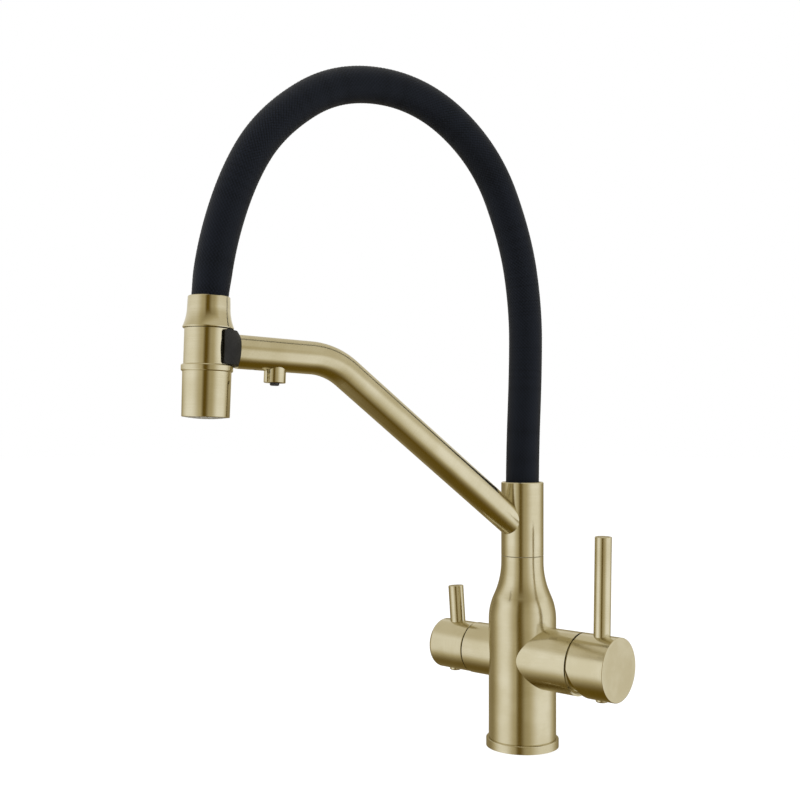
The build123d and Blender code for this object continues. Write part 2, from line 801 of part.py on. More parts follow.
def make_hose_connector():
    flange_low = ferrule_bottom + face_gap
    spigot_low = flange_low - connector_spigot_length
    connector = disc(connector_spigot_radius, spigot_low, flange_low)
    connector += disc(sleeve_radius - sleeve_wall - thread_gap, flange_low, ferrule_step)
    connector += disc(hose_barb_radius, ferrule_step, ferrule_step + connector_barb_length)
    connector -= disc(connector_bore_radius, spigot_low, ferrule_step + connector_barb_length)
    ring_depth = 2 * o_ring_section
    seal_low = connector_seal_level() - o_ring_groove / 2
    connector -= groove(connector_spigot_radius, ring_depth, seal_low, o_ring_groove)
    connector -= groove(
        connector_spigot_radius,
        clip_bite + thread_gap,
        clip_level() - clip_play / 2,
        clip_height + clip_play,
    )
    return head_frame * connector


def connector_seal_level():
    """Level of the O-ring that seals the turning joint."""
    return ferrule_bottom - connector_spigot_length + connector_seal_inset


def clip_level():
    """Lower face of the clip that keeps the head on its turning joint."""
    return ferrule_bottom - clip_inset


def make_connector_o_ring():
    middle = connector_spigot_radius - o_ring_section
    return head_frame * cord_ring(middle, o_ring_section, connector_seal_level())


def make_connector_clip():
    outer = connector_spigot_radius + clip_bite
    inner = connector_spigot_radius - clip_bite
    return head_frame * split_ring(outer, inner, clip_level(), clip_level() + clip_height)


# ---------------------------------------------------------------- spray head
def make_head_sleeve():
    return head_frame * ring(sleeve_radius, sleeve_radius - sleeve_wall, sleeve_bottom, sleeve_top)


def make_head_ring():
    outline = ring(ring_radius, core_radius + thread_gap, ring_bottom, sleeve_bottom)
    rims = outline.edges().filter_by(GeomType.CIRCLE).sort_by(SortBy.RADIUS)[-2:]
    return head_frame * fillet(rims, ring_edge)


def make_nozzle_shell():
    inner = core_radius + thread_gap
    rim_top = nozzle_bottom + nozzle_rim_height
    shell = lathe(
        (inner, ring_bottom),
        (nozzle_top_radius, ring_bottom),
        (nozzle_rim_radius, nozzle_bottom),
        (nozzle_mouth_radius, nozzle_bottom),
        (nozzle_mouth_radius, rim_top),
        (inner, rim_top),
    )
    rims = shell.edges().filter_by(GeomType.CIRCLE).group_by(Axis.Z)[0]
    return head_frame * fillet(rims.sort_by(SortBy.RADIUS)[-1], nozzle_rim_round)


def make_head_core():
    """The plastic waterway that carries the sleeve, ring, nozzle and aerator."""
    top = sleeve_top - core_top_gap
    rim_top = nozzle_bottom + nozzle_rim_height
    aerator_top = nozzle_bottom + aerator_height
    spigot_low = ferrule_bottom + face_gap - connector_spigot_length
    core = disc(core_radius, rim_top, top)
    socket_radius = connector_spigot_radius + running_fit
    core -= disc(socket_radius, spigot_low - free_gap, top)
    core -= disc(
        connector_spigot_radius + clip_bite + clip_play,
        clip_level() - clip_play,
        clip_level() + clip_height + clip_play,
    )
    core -= disc(socket_radius - core_wall, rim_top, spigot_low)
    core -= disc(aerator_radius + thread_gap, rim_top, aerator_top + face_gap)
    core -= lathe(
        (0, aerator_top),
        (aerator_bore_radius, aerator_top),
        (socket_radius - core_wall, aerator_top + core_mixing_height),
        (0, aerator_top + core_mixing_height),
    )
    half = catch_ring_height / 2
    core -= groove(core_radius, catch_ring_wall, -half, catch_ring_height)
    return head_frame * core


def make_catch_ring():
    half = catch_ring_height / 2
    return head_frame * ring(core_radius, core_radius - catch_ring_wall, -half, half)


def face_dome():
    """The ball whose lowest part is the spray face's shallow dome."""
    radius = (spray_face_radius**2 + face_bulge**2) / (2 * face_bulge)
    return Pos(0, 0, nozzle_bottom - face_bulge + radius) * Sphere(radius)


def make_aerator_housing():
    rim_top = nozzle_bottom + nozzle_rim_height - thread_gap
    low = nozzle_bottom - face_bulge
    housing = ring(spray_face_radius, aerator_bore_radius, low, rim_top)
    housing += ring(aerator_radius, aerator_bore_radius, low, nozzle_bottom + aerator_height)
    return head_frame * (housing & face_dome())


def make_aerator_screen():
    """The plate of jets in the middle of the spray face."""
    low = nozzle_bottom - face_bulge
    screen = disc(aerator_bore_radius - thread_gap, low, nozzle_bottom + screen_height)
    screen &= face_dome()
    holes = [Pos(0, 0, 0)]
    for ring_number in range(1, screen_rings + 1):
        count = 6 * ring_number
        for step in range(count):
            turn = 360 * step / count
            holes.append(Rot(0, 0, turn) * Pos(screen_hole_pitch * ring_number, 0, 0))
    hole = disc(screen_hole_radius, low - 1, nozzle_bottom + screen_height + 1)
    screen -= [place * hole for place in holes]
    return head_frame * screen


# ---------------------------------------------------------------- mixer cartridge
def make_cartridge_base():
    base = disc(cartridge_radius, mixer_seat, cartridge_floor)
    for up, across in port_places():
        place = Pos(up, across, 0)
        base -= place * disc(port_radius, mixer_seat, cartridge_floor)
        base -= place * disc(
            port_radius + seal_ring_width, mixer_seat, mixer_seat + seal_ring_height
        )
    return mixer_frame * base


def make_cartridge_seals():
    seal = ring(
        port_radius + seal_ring_width, port_radius, mixer_seat, mixer_seat + seal_ring_height
    )
    places = [Pos(up, across, 0) for up, across in port_places()]
    return Compound(children=[mixer_frame * place * seal for place in places])


def make_fixed_disc():
    plate = disc(cartridge_room_radius - thread_gap, cartridge_floor, fixed_disc_top)
    for up, across in port_places():
        plate -= Pos(up, across, 0) * disc(port_radius, cartridge_floor, fixed_disc_top)
    return mixer_frame * plate


def make_moving_disc():
    low = fixed_disc_top + disc_slip
    plate = disc(carrier_radius, low, moving_disc_top)
    plate -= disc(moving_disc_pocket, low, low + moving_disc_height / 2)
    return mixer_frame * Pos(-carrier_travel / 2, 0, 0) * plate


def make_disc_carrier():
    carrier = Pos(-carrier_travel / 2, 0, 0) * disc(carrier_radius, moving_disc_top, carrier_top)
    reach = stem_tip_radius + stem_tip_clearance
    tip_low = tilt_pivot - stem_tip_arm - stem_tip_radius
    carrier -= block(
        -reach, reach, stem_width / 2 + stem_tip_clearance, tip_low - stem_tip_clearance, carrier_top
    )
    return mixer_frame * carrier


def make_cartridge_shell():
    shell = disc(cartridge_radius, cartridge_floor, cartridge_lid_top)
    shell -= disc(cartridge_room_radius, cartridge_floor, rotor_flange_top + face_gap)
    shell -= disc(rotor_neck_radius + face_gap, rotor_flange_top, cartridge_lid_top)
    return mixer_frame * shell


def make_rotor():
    rotor = disc(cartridge_room_radius - face_gap, carrier_top + carrier_roof, rotor_flange_top)
    rotor += disc(rotor_neck_radius, rotor_flange_top, rotor_neck_top)
    # The slot lets the stem swing down at its outer end and up at its inner end.
    swing = tan(radians(tilt_range))
    low_reach = (rotor_neck_top - tilt_pivot) * swing + stem_thickness / 2 + slot_end_play
    high_reach = (tilt_pivot - stem_shoulder) * swing + stem_thickness / 2 + slot_end_play
    half_width = stem_width / 2 + slot_play
    rotor -= block(-low_reach, high_reach, half_width, carrier_top, rotor_neck_top)
    rotor -= Pos(0, 0, tilt_pivot) * Rot(90, 0, 0) * Cylinder(
        pivot_pin_radius + pivot_pin_grip, 4 * rotor_neck_radius
    )
    return mixer_frame * rotor


def make_pivot_pin():
    pin = Pos(0, 0, tilt_pivot) * Rot(90, 0, 0) * Cylinder(pivot_pin_radius, pivot_pin_length)
    return mixer_frame * pin


def make_lever_stem():
    tip_level = tilt_pivot - stem_tip_arm
    half = stem_width / 2
    stem = Pos(0, 0, tip_level) * Rot(90, 0, 0) * Cylinder(stem_tip_radius, stem_width)
    stem += block(-stem_shank / 2, stem_shank / 2, half, tip_level, stem_shoulder)
    stem += block(-stem_thickness / 2, stem_thickness / 2, half, stem_shoulder, stem_socket_end)
    stem -= Pos(0, 0, tilt_pivot) * Rot(90, 0, 0) * Cylinder(
        pivot_pin_radius + running_fit, 2 * stem_width
    )
    return mixer_frame * stem


def make_retaining_nut():
    nut = ring(mixer_bore_radius - thread_gap, nut_inner_radius, cartridge_lid_top, nut_top)
    notch = block(
        nut_inner_radius - 1,
        nut_inner_radius + nut_notch_depth,
        nut_notch_half,
        nut_top - nut_notch_height,
        nut_top + 1,
    )
    for number in range(nut_notches):
        nut -= Rot(0, 0, 360 * number / nut_notches) * notch
    return mixer_frame * nut


def make_trim_ring():
    """The domed cover ring that closes the gap around the lever's stem."""
    foot = nut_top - trim_lip
    collar = disc(mixer_mouth_radius - trim_flange_gap, foot, nut_top + trim_wall)
    collar = chamfer(collar.edges().group_by(Axis.Z)[-1], trim_slope)
    collar -= disc(mixer_bore_radius, foot, nut_top)
    dome_top = tilt_pivot + sqrt(trim_sphere_radius**2 - trim_mouth_radius**2)
    ball = Pos(0, 0, tilt_pivot) * Sphere(trim_sphere_radius)
    hollow = Pos(0, 0, tilt_pivot) * Sphere(trim_sphere_radius - trim_wall)
    band = ball & disc(trim_sphere_radius, nut_top, dome_top)
    trim = collar + band - (hollow & disc(trim_sphere_radius, nut_top, dome_top))
    trim -= disc(trim_mouth_radius - trim_wall / 2, nut_top, dome_top)
    return mixer_frame * trim


# ---------------------------------------------------------------- mixer lever
def bar_in_handle(place, seat_level, top_level, lean, radius):
    """A pin handle with a screwed spigot, leaning outwards by a small angle."""
    pin = disc(radius, 0, top_level - seat_level)
    pin = fillet(pin.edges().group_by(Axis.Z)[-1], rod_edge)
    pin += disc(rod_spigot_radius, -rod_spigot_length, 0)
    # Local X is up and local Z is outwards, so the pin is stood on the X axis.
    return Pos(seat_level, 0, place) * Rot(0, 90 - lean, 0) * pin


def bar_room(place, seat_level, lean, radius):
    """The counterbore and tapped hole that the pin handle goes into."""
    room = disc(radius + thread_gap, 0, radius * 4)
    room += disc(rod_spigot_radius + thread_gap, -rod_spigot_length - rod_end_gap, 0)
    return Pos(seat_level, 0, place) * Rot(0, 90 - lean, 0) * room


def make_lever_cap():
    cap = disc(cap_radius, cap_start, cap_end)
    cap = fillet(cap.edges().group_by(Axis.Z)[-1], cap_edge)
    cap -= disc(cap_cavity_radius, cap_start, cap_start + cap_cavity_depth)
    cap -= block(
        -stem_thickness / 2 - thread_gap,
        stem_thickness / 2 + thread_gap,
        stem_width / 2 + thread_gap,
        cap_start,
        stem_socket_end + face_gap,
    )
    # Slanted relief under the axis, so that the cap clears the housing when it tilts.
    wedge = Pos(0, 0, cap_start) * Rot(0, relief_angle, 0) * block(
        -2 * cap_radius, 0, 2 * cap_radius, -2 * cap_radius, 0
    )
    cap -= wedge & block(-2 * cap_radius, 0, 2 * cap_radius, 0, cap_end + cap_radius)
    cap -= bar_room(lever_rod_place, cap_radius - rod_seat, lever_rod_lean, lever_rod_radius)
    cap -= Pos(0, 0, lever_rod_place) * Rot(0, -90, 0) * disc(
        plug_radius + thread_gap, lever_plug_seat - face_gap, cap_radius + 1
    )
    cap -= Pos(0, 0, lever_rod_place) * Rot(0, -90, 0) * disc(
        grub_radius + thread_gap, stem_thickness / 2, cap_radius
    )
    return mixer_frame * cap


def make_lever_rod():
    rod = bar_in_handle(
        lever_rod_place, cap_radius - rod_seat, lever_rod_top, lever_rod_lean, lever_rod_radius
    )
    return mixer_frame * rod


def grub_screw(place, low):
    """A socket set screw pointing at the axis from below, at a place along the valve."""
    screw = disc(grub_radius, low, low + grub_length)
    mouth = Plane.XY.offset(low + grub_length)
    screw -= extrude(mouth * RegularPolygon(grub_socket_radius, 6), -grub_socket_depth)
    return Pos(0, 0, place) * Rot(0, -90, 0) * screw


def button_plug(place, surface, seat):
    """A round button plug that covers the set screw and stands a little proud."""
    plug = disc(plug_radius, seat, surface + plug_proud)
    plug = fillet(plug.edges().group_by(Axis.Z)[-1], plug_round)
    return Pos(0, 0, place) * Rot(0, -90, 0) * plug


def make_lever_grub_screw():
    return mixer_frame * grub_screw(lever_rod_place, stem_thickness / 2 + thread_gap)


def make_lever_plug():
    return mixer_frame * button_plug(lever_rod_place, cap_radius, lever_plug_seat)


# ---------------------------------------------------------------- filter valve
def filter_valve_levels():
    """Where the filter valve's inner pieces start, outwards from the seat."""
    seat_top = filter_seat + rubber_seat_height
    fixed_top = seat_top + filter_disc_height
    moving_low = fixed_top + disc_slip
    moving_top = moving_low + filter_disc_height
    foot_top = moving_top + spindle_foot_height
    return seat_top, fixed_top, moving_low, moving_top, foot_top


def make_filter_valve_body():
    foot_top = filter_valve_levels()[-1]
    hex_low = filter_housing_end - filter_hex_height
    jacket_top = filter_seat + filter_jacket_length
    body = disc(filter_jacket_radius, filter_seat, jacket_top)
    body += disc(filter_body_radius, jacket_top, hex_low)
    body += extrude(
        Plane.XY.offset(hex_low) * RegularPolygon(filter_hex_radius, 6),
        filter_hex_height - filter_hex_sink,
    )
    body -= disc(filter_disc_radius + running_fit, filter_seat, foot_top + face_gap)
    body -= disc(spindle_radius + running_fit, filter_seat, filter_housing_end)
    window_level = filter_valve_levels()[3] + filter_window_radius
    body -= Pos(0, 0, window_level) * Rot(90, 0, 0) * Cylinder(
        filter_window_radius, 3 * filter_jacket_radius
    )
    return filter_frame * body


def make_filter_rubber_seat():
    seat_top = filter_valve_levels()[0]
    inner = filter_port_offset + filter_port_radius
    return filter_frame * ring(filter_disc_radius, inner, filter_seat, seat_top)


def ported_plate(low, high, turn):
    """A ceramic disc with two round ports across its middle."""
    plate = disc(filter_disc_radius, low, high)
    for side in (1, -1):
        place = Rot(0, 0, turn) * Pos(side * filter_port_offset, 0, 0)
        plate -= place * disc(filter_port_radius, low, high)
    return plate


def make_filter_fixed_disc():
    seat_top, fixed_top = filter_valve_levels()[:2]
    return filter_frame * ported_plate(seat_top, fixed_top, 0)


def make_filter_moving_disc():
    moving_low, moving_top = filter_valve_levels()[2:4]
    return filter_frame * ported_plate(moving_low, moving_top, 90)


def make_filter_spindle():
    moving_top, foot_top = filter_valve_levels()[3:5]
    spindle = disc(filter_disc_radius, moving_top, foot_top)
    spindle += disc(spindle_radius, foot_top, spindle_end)
    spindle -= groove(
        spindle_radius,
        2 * spindle_ring_section,
        spindle_ring_place - spindle_ring_groove / 2,
        spindle_ring_groove,
    )
    return filter_frame * spindle


def make_spindle_o_ring():
    middle = spindle_radius - spindle_ring_section
    return filter_frame * cord_ring(middle, spindle_ring_section, spindle_ring_place)


def make_filter_cap():
    cap = disc(filter_cap_radius, filter_cap_start, filter_cap_end)
    cap = fillet(cap.edges().group_by(Axis.Z)[-1], filter_cap_round)
    cap = chamfer(cap.edges().group_by(Axis.Z)[0], filter_cap_edge)
    cap -= disc(filter_cavity_radius, filter_cap_start, filter_cap_start + filter_cavity_depth)
    cap -= disc(spindle_radius + thread_gap, filter_cap_start, spindle_end + spindle_end_gap)
    cap -= bar_room(
        filter_rod_place, filter_cap_radius - rod_seat, filter_rod_lean, filter_rod_radius
    )
    cap -= Pos(0, 0, filter_plug_place) * Rot(0, -90, 0) * disc(
        grub_radius + thread_gap, spindle_radius, filter_cap_radius
    )
    cap -= Pos(0, 0, filter_plug_place) * Rot(0, -90, 0) * disc(
        plug_radius + thread_gap, filter_plug_seat - face_gap, filter_cap_radius + 1
    )
    return filter_frame * cap


def make_filter_rod():
    rod = bar_in_handle(
        filter_rod_place,
        filter_cap_radius - rod_seat,
        filter_rod_top,
        filter_rod_lean,
        filter_rod_radius,
    )
    return filter_frame * rod


def make_filter_grub_screw():
    return filter_frame * grub_screw(filter_plug_place, spindle_radius + thread_gap)


def make_filter_plug():
    return filter_frame * button_plug(filter_plug_place, filter_cap_radius, filter_plug_seat)


# ---------------------------------------------------------------- write every node
def main():
    os.makedirs("parts", exist_ok=True)
    hose_cover, hose_liner = make_hose_pieces()
    nodes = {
        "base_flange": make_base_flange(),
        "base_gasket": make_base_gasket(),
        "main_body": make_main_body(),
        "neck_stem": make_neck_stem(),
        "stem_gasket": make_stem_gasket(),
        "swivel_o_rings": make_swivel_o_rings(),
        "slip_washer": make_slip_washer(),
        "snap_ring": make_snap_ring(),
        "spout_column": make_spout_column(),
        "spout_arm": make_spout_arm(),
        "filter_nipple": make_filter_nipple(),
        "filter_tube": make_filter_tube(),
        "filter_elbow": make_filter_elbow(),
        "outlet_boss": make_outlet_boss(),
        "outlet_insert": make_outlet_insert(),
        "dock_cradle": make_dock_cradle(),
        "dock_magnet": make_dock_magnet(),
        "dock_screw": make_dock_screw(),
        "hose_cover": hose_cover,
        "hose_liner": hose_liner,
        "hose_nipple": make_hose_nipple(),
        "head_ferrule": make_head_ferrule(),
        "hose_connector": make_hose_connector(),
        "connector_o_ring": make_connector_o_ring(),
        "connector_clip": make_connector_clip(),
        "head_sleeve": make_head_sleeve(),
        "head_ring": make_head_ring(),
        "nozzle_shell": make_nozzle_shell(),
        "head_core": make_head_core(),
        "catch_ring": make_catch_ring(),
        "aerator_housing": make_aerator_housing(),
        "aerator_screen": make_aerator_screen(),
        "cartridge_base": make_cartridge_base(),
        "cartridge_seals": make_cartridge_seals(),
        "cartridge_shell": make_cartridge_shell(),
        "fixed_disc": make_fixed_disc(),
        "moving_disc": make_moving_disc(),
        "disc_carrier": make_disc_carrier(),
        "cartridge_rotor": make_rotor(),
        "pivot_pin": make_pivot_pin(),
        "lever_stem": make_lever_stem(),
        "retaining_nut": make_retaining_nut(),
        "trim_ring": make_trim_ring(),
        "lever_cap": make_lever_cap(),
        "lever_rod": make_lever_rod(),
        "lever_grub_screw": make_lever_grub_screw(),
        "lever_plug": make_lever_plug(),
        "filter_valve_body": make_filter_valve_body(),
        "filter_rubber_seat": make_filter_rubber_seat(),
        "filter_fixed_disc": make_filter_fixed_disc(),
        "filter_moving_disc": make_filter_moving_disc(),
        "filter_spindle": make_filter_spindle(),
        "spindle_o_ring": make_spindle_o_ring(),
        "filter_cap": make_filter_cap(),
        "filter_rod": make_filter_rod(),
        "filter_grub_screw": make_filter_grub_screw(),
        "filter_plug": make_filter_plug(),
    }
    for name, shape in nodes.items():
        write(name, shape)


if __name__ == "__main__":
    main()
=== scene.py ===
"""Studio scene of a three way filtered water tap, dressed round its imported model.

Lengths are metres in the tap's own frame: +Z up, the origin on the deck under the column,
+X along the mixer valve. Dataclass fields in millimetres say so in their names.
"""

import logging
from dataclasses import dataclass, field
from enum import Enum
from math import cos, floor, pi, radians, sin
from typing import Protocol

import bpy
from mathutils import Matrix, Vector


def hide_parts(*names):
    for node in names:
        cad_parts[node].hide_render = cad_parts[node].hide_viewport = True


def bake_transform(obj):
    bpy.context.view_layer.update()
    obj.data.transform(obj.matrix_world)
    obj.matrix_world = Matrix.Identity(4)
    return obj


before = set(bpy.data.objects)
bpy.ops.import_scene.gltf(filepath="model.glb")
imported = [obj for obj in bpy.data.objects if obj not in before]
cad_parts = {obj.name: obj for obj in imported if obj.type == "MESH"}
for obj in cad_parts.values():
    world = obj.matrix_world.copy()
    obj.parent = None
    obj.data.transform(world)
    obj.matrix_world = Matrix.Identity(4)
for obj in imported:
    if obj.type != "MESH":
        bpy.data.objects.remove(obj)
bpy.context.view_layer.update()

MM = 0.001
SPOUT_HEADING = radians(-107.8)
ARM_CLIMB = radians(37.5)
HEAD_LEAN = radians(1.8)
CAMERA_TURN = radians(41.8)
UP = Vector((0.0, 0.0, 1.0))
WHITE = (1.0, 1.0, 1.0, 1.0)

Colour = tuple[float, float, float]
Span = tuple[float, float]
log = logging.getLogger("tap")


# ------------------------------------------------------------------ shader building
class Wire:
    """One output of a shader node, on which Python's operators add Math nodes."""

    def __init__(self, sheet: "NodeSheet", socket: bpy.types.NodeSocket | None) -> None:
        """Keeps the socket and the sheet that new nodes go on.

        Args:
            sheet: The sheet.
            socket: The output, or None for a node that has none.
        """
        self.sheet = sheet
        self.socket = socket

    def math(self, operation: str, *values: "Wire | float") -> "Wire":
        """Adds one Math node.

        Args:
            operation: The Math node's operation.
            values: All of its inputs, in order.

        Returns:
            The node's output.
        """
        return self.sheet.node("ShaderNodeMath", {"operation": operation}, dict(enumerate(values)))

    def __add__(self, other: "Wire | float") -> "Wire":
        """Adds another value."""
        return self.math("ADD", self, other)

    def __sub__(self, other: "Wire | float") -> "Wire":
        """Takes another value away."""
        return self.math("SUBTRACT", self, other)

    def __rsub__(self, other: float) -> "Wire":
        """Takes this away from a number on the left."""
        return self.math("SUBTRACT", other, self)

    def __mul__(self, other: "Wire | float") -> "Wire":
        """Multiplies by another value."""
        return self.math("MULTIPLY", self, other)

    def __rmul__(self, other: float) -> "Wire":
        """Multiplies a number on the left."""
        return self.math("MULTIPLY", other, self)

    def larger(self, other: "Wire | float") -> "Wire":
        """The larger of this and another value."""
        return self.math("MAXIMUM", self, other)

    def ease(self, start: float, end: float) -> "Wire":
        """Rises smoothly from 0 at start to 1 at end.

        Args:
            start: The value that gives 0.
            end: The value that gives 1.

        Returns:
            The eased value.
        """
        settings = {"interpolation_type": "SMOOTHSTEP"}
        return self.sheet.node(
            "ShaderNodeMapRange", settings, {"Value": self, "From Min": start, "From Max": end}
        )


class NodeSheet:
    """A node tree that is built from nothing, one node at a time."""

    def __init__(self, tree: bpy.types.NodeTree) -> None:
        """Clears the tree.

        Args:
            tree: The tree of a material or of the world.
        """
        tree.nodes.clear()
        self.tree = tree

    def node(
        self,
        kind: str,
        settings: dict | None = None,
        inputs: dict | None = None,
        output: str | int = 0,
    ) -> Wire:
        """Adds one node.

        Args:
            kind: The node's type.
            settings: Its own settings, set first; "stops" are a ramp's (place, colour) pairs.
            inputs: Values or wires by socket name or number.
            output: Which output to return.

        Returns:
            The chosen output.
        """
        made = self.tree.nodes.new(kind)
        for name, value in (settings or {}).items():
            if name == "stops":
                self._set_stops(made.color_ramp, value)
            else:
                setattr(made, name, value)
        for name, value in (inputs or {}).items():
            if isinstance(value, Wire):
                self.tree.links.new(value.socket, made.inputs[name])
            else:
                made.inputs[name].default_value = value
        return Wire(self, made.outputs[output] if len(made.outputs) else None)

    @staticmethod
    def _set_stops(
        ramp: bpy.types.ColorRamp, stops: tuple[tuple[float, Colour], ...]
    ) -> None:
        """Gives a ramp its stops.

        Args:
            ramp: The ramp of a Color Ramp node.
            stops: Places from 0 to 1 with their colours.
        """
        while len(ramp.elements) < len(stops):
            ramp.elements.new(0.5)
        for element, (place, colour) in zip(ramp.elements, stops):
            element.position = place
            element.color = (*colour, 1.0)

    def blend(self, share: "Wire | float", first: Colour | Wire, second: Colour | Wire) -> Wire:
        """Mixes two colours.

        Args:
            share: How much of the second colour, from 0 to 1.
            first: A colour or a wire of one.
            second: A colour or a wire of one.

        Returns:
            The mixed colour.
        """
        ends = [(*c, 1.0) if isinstance(c, tuple) else c for c in (first, second)]
        return self.node(
            "ShaderNodeMix", {"data_type": "RGBA"}, {0: share, 6: ends[0], 7: ends[1]}, output=2
        )

    def bump(self, height: Wire, distance: float) -> Wire:
        """Turns a height into a normal.

        Args:
            height: The height, about 0 to 1.
            distance: How far a height of 1 stands out, in metres.

        Returns:
            The normal.
        """
        return self.node("ShaderNodeBump", {}, {"Height": height, "Distance": distance})


class Shader(NodeSheet):
    """The node sheet of one new material."""

    def __init__(self, name: str) -> None:
        """Makes the material.

        Args:
            name: The material's name.
        """
        self.material = bpy.data.materials.new(name)
        self.material.use_nodes = True
        super().__init__(self.material.node_tree)

    def place(self) -> Wire:
        """The point on the piece, which moves with it."""
        return self.node("ShaderNodeTexCoord", output="Object")

    def along(self, axis: Vector) -> Wire:
        """The point on the piece, turned so that an axis becomes Z.

        Args:
            axis: The direction that becomes Z.

        Returns:
            The turned point.
        """
        turn = axis.rotation_difference(UP).to_euler()
        return self.node(
            "ShaderNodeVectorRotate",
            {"rotation_type": "EULER_XYZ"},
            {"Vector": self.place(), "Rotation": turn},
        )

    def noise(self, point: Wire, scale: Colour | float, detail: float = 2.0) -> Wire:
        """Noise with its own scale along each axis.

        Args:
            point: Where to read it.
            scale: How many cells to a metre, for all axes or for each one.
            detail: The noise's detail.

        Returns:
            A value from 0 to 1.
        """
        each = scale if isinstance(scale, tuple) else (scale, scale, scale)
        scaled = self.node("ShaderNodeVectorMath", {"operation": "MULTIPLY"}, {0: point, 1: each})
        inputs = {"Vector": scaled, "Scale": 1.0, "Detail": detail}
        return self.node("ShaderNodeTexNoise", {}, inputs)

    def surface(self, **sockets: "Wire | float | tuple") -> bpy.types.Material:
        """Finishes the material with a Principled shader.

        Args:
            sockets: The shader's sockets, with underscores for spaces.

        Returns:
            The material.
        """
        inputs = {}
        for name, value in sockets.items():
            plain = isinstance(value, tuple) and len(value) == 3
            inputs[name.replace("_", " ")] = (*value, 1.0) if plain else value
        closure = self.node("ShaderNodeBsdfPrincipled", {}, inputs)
        self.node("ShaderNodeOutputMaterial", {}, {"Surface": closure})
        return self.material


# ------------------------------------------------------------------ finishes
# Noise runs from about 0.3 to 0.7 round its middle.
NOISE_MIDDLE = 0.5
NOISE_SPAN: Span = (0.3, 0.7)


class Lay(Enum):
    """The axis that the brushing marks run round."""

    COLUMN = UP.copy()
    VALVE = Vector((1.0, 0.0, 0.0))
    CLIMB = Vector(
        (cos(ARM_CLIMB) * cos(SPOUT_HEADING), cos(ARM_CLIMB) * sin(SPOUT_HEADING), sin(ARM_CLIMB))
    )
    HEAD = Vector(
        (-sin(HEAD_LEAN) * cos(SPOUT_HEADING), -sin(HEAD_LEAN) * sin(SPOUT_HEADING), cos(HEAD_LEAN))
    )


@dataclass(frozen=True)
class BrushedGold:
    """Champagne gold plating over brass, brushed to a satin with hairlines round each piece."""

    lay: Lay
    colour: Colour = (0.66, 0.605, 0.43)
    deep: Colour = (0.6, 0.54, 0.36)
    roughness: float = 0.18
    # Noise cells to a metre: round the piece, along its axis, and in the soft patches.
    lines_round: float = 90.0
    lines_along: float = 5200.0
    patches: float = 55.0
    line_tone: float = 0.5
    line_roughness: float = 0.1
    patch_roughness: float = 0.05
    depth: float = 0.000007

    def material(self) -> bpy.types.Material:
        """Builds the finish."""
        shader = Shader(f"brushed_gold_{self.lay.name.lower()}")
        point = shader.along(self.lay.value)
        cells = (self.lines_round, self.lines_round, self.lines_along)
        line = shader.noise(point, cells, detail=3.0)
        patch = shader.noise(shader.place(), self.patches)
        tone = (line - NOISE_MIDDLE) * self.line_tone + patch
        uneven = (line - NOISE_MIDDLE) * self.line_roughness
        uneven = uneven + (patch - NOISE_MIDDLE) * self.patch_roughness
        return shader.surface(
            Base_Color=shader.blend(tone.ease(*NOISE_SPAN), self.colour, self.deep),
            Metallic=1.0,
            Roughness=uneven + self.roughness,
            Normal=shader.bump(line, self.depth),
        )


@dataclass(frozen=True)
class TurnedMetal:
    """Bare metal straight from the lathe, with tool marks round its axis."""

    name: str
    colour: Colour
    roughness: float
    lay: Lay = Lay.VALVE
    cells: Colour = (60.0, 60.0, 3600.0)
    dull_share: float = 0.82
    mark_roughness: float = 0.14
    depth: float = 0.00003

    def material(self) -> bpy.types.Material:
        """Builds the finish."""
        shader = Shader(self.name)
        mark = shader.noise(shader.along(self.lay.value), self.cells)
        dull = tuple(self.dull_share * part for part in self.colour)
        return shader.surface(
            Base_Color=shader.blend(mark.ease(*NOISE_SPAN), self.colour, dull),
            Metallic=1.0,
            Roughness=(mark - NOISE_MIDDLE) * self.mark_roughness + self.roughness,
            Normal=shader.bump(mark, self.depth),
        )


@dataclass(frozen=True)
class Moulded:
    """Moulded plastic or rubber with a fine spark grain."""

    name: str
    colour: Colour
    roughness: float
    grain: float = 2600.0
    depth: float = 0.00002
    gloss: float = 0.5
    haze_cells: float = 120.0
    haze_span: Span = (0.35, 0.7)
    haze_gain: float = 1.18
    haze_lift: float = 0.002
    grain_roughness: float = 0.12

    def material(self) -> bpy.types.Material:
        """Builds the finish."""
        shader = Shader(self.name)
        spark = shader.noise(shader.place(), self.grain)
        haze = shader.noise(shader.place(), self.haze_cells)
        pale = tuple(min(1.0, self.haze_gain * part + self.haze_lift) for part in self.colour)
        return shader.surface(
            Base_Color=shader.blend(haze.ease(*self.haze_span), self.colour, pale),
            Roughness=(spark - NOISE_MIDDLE) * self.grain_roughness + self.roughness,
            Specular_IOR_Level=self.gloss,
            Normal=shader.bump(spark, self.depth),
        )


